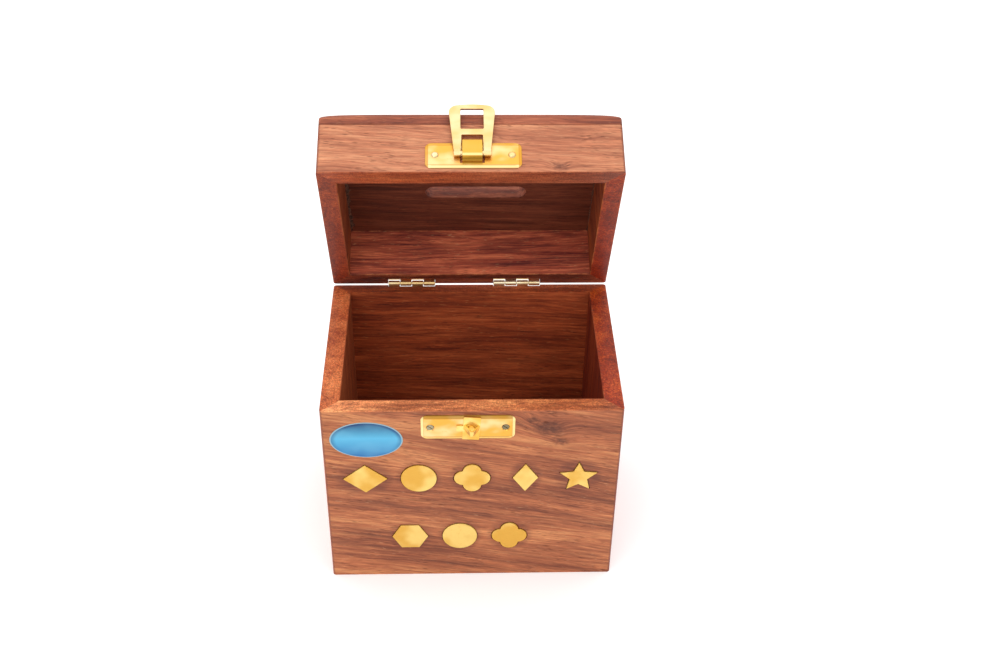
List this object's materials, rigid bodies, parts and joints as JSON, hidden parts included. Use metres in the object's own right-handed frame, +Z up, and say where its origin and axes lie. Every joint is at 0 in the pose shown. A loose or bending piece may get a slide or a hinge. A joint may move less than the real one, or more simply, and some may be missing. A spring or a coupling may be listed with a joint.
{
  "type": "money box",
  "caption": "Hinged wooden money box with a coin slot in its thick flat lid, a brass hasp and swivel staple, and brass inlays on the front.",
  "frame": {"origin": "centre of the box's underside", "axes": "+Z up, the front with the staple faces -Y, +X to the right seen from the front"},
  "size_m": [0.14, 0.1354, 0.2178],
  "materials": {
    "wood_box": "satin",
    "wood_lid": "satin",
    "wood_bottom": "matte",
    "brass_plate": "polished",
    "brass_staple": "polished",
    "brass_hasp": "polished",
    "brass_hinge": "satin",
    "brass_pins": "polished",
    "brass_inlay": "satin",
    "steel_screws": "satin",
    "label_blue": "glossy"
  },
  "bodies": {
    "box": {"front_panel": "wood_box", "back_panel": "wood_box", "left_panel": "wood_box", "right_panel": "wood_box", "bottom_panel": "wood_bottom", "staple_plate": "brass_plate", "staple_plate_screws": "steel_screws", "staple_rivet": "brass_staple", "inlay_top_1": "brass_inlay", "inlay_top_2": "brass_inlay", "inlay_top_3": "brass_inlay", "inlay_top_4": "brass_inlay", "inlay_top_5": "brass_inlay", "inlay_low_1": "brass_inlay", "inlay_low_2": "brass_inlay", "inlay_low_3": "brass_inlay", "label": "label_blue", "left_hinge_box_leaf": "brass_hinge", "left_hinge_pin": "brass_hinge", "right_hinge_box_leaf": "brass_hinge", "right_hinge_pin": "brass_hinge", "hinge_box_screws": "brass_hinge"},
    "lid": {"lid_front_rail": "wood_lid", "lid_back_rail": "wood_lid", "lid_left_rail": "wood_lid", "lid_right_rail": "wood_lid", "lid_top_board": "wood_lid", "hasp_plate": "brass_plate", "hasp_plate_pins": "brass_pins", "left_hinge_lid_leaf": "brass_hinge", "right_hinge_lid_leaf": "brass_hinge", "hinge_lid_screws": "brass_hinge"},
    "hasp": {"hasp": "brass_hasp"},
    "staple": {"staple": "brass_staple"}
  },
  "joints": [
    {"name": "lid_hinge", "type": "hinge", "parent": "box", "child": "lid", "pos_m": [0, 0.05, 0.10975], "axis": [-1, 0, 0], "range_deg": [-65.8, 114.2]},
    {"name": "hasp_hinge", "type": "hinge", "parent": "lid", "child": "hasp", "pos_m": [0.0005, 0.01555, 0.20604], "axis": [1, 0, 0], "range_deg": [0, 180]},
    {"name": "staple_swivel", "type": "hinge", "parent": "box", "child": "staple", "pos_m": [-0.0004, -0.0495, 0.0993], "axis": [0, -1, 0], "continuous": true}
  ]
}
